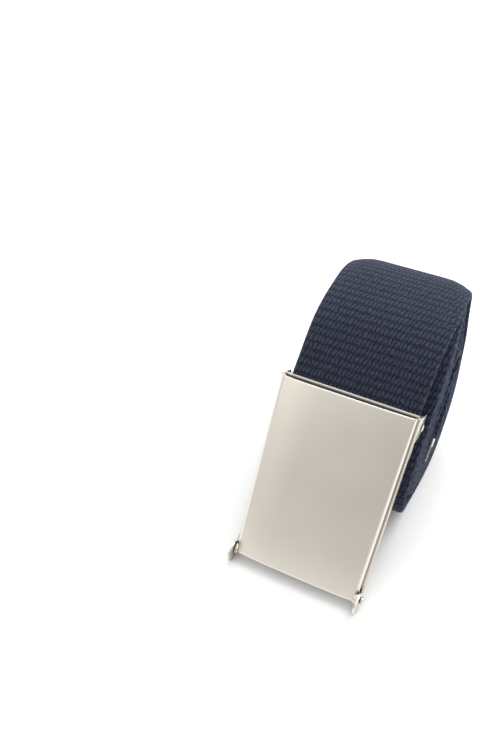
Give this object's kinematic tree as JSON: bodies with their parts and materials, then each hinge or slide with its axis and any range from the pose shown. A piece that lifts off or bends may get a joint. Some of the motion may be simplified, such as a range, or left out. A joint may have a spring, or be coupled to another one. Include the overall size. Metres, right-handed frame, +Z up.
{
  "type": "canvas web belt",
  "caption": "Flat canvas web belt wound into a loose roll, with a flip-cover friction buckle leaning on the roll and a folded metal tip on the tail.",
  "frame": {"origin": "on the ground under the roll's lowest line, at the middle of the buckle's width", "axes": "+X to the wearer's side that the picture shows on the right, +Y from the buckle towards the back of the roll, +Z up; the buckle faces -Y and leans back"},
  "size_m": [0.0432, 0.0939, 0.0633],
  "materials": {
    "navy_webbing": "matte ribbed cotton weave",
    "satin_nickel": "satin nickel plate",
    "tip_metal": "bright nickel plate"
  },
  "bodies": {
    "belt": {"web": "navy_webbing", "tail_tip": "tip_metal", "buckle_base": "satin_nickel", "hinge_pin_left": "satin_nickel", "hinge_pin_right": "satin_nickel", "clamp_plate": "satin_nickel", "clamp_pin": "satin_nickel"},
    "cover": {"cover": "satin_nickel", "grip_bar": "satin_nickel"}
  },
  "joints": [
    {"name": "cover_hinge", "type": "hinge", "parent": "belt", "child": "cover", "pos_m": [0, -0.05679, 0.0032], "axis": [1, 0, 0], "range_deg": [0, 100]}
  ]
}
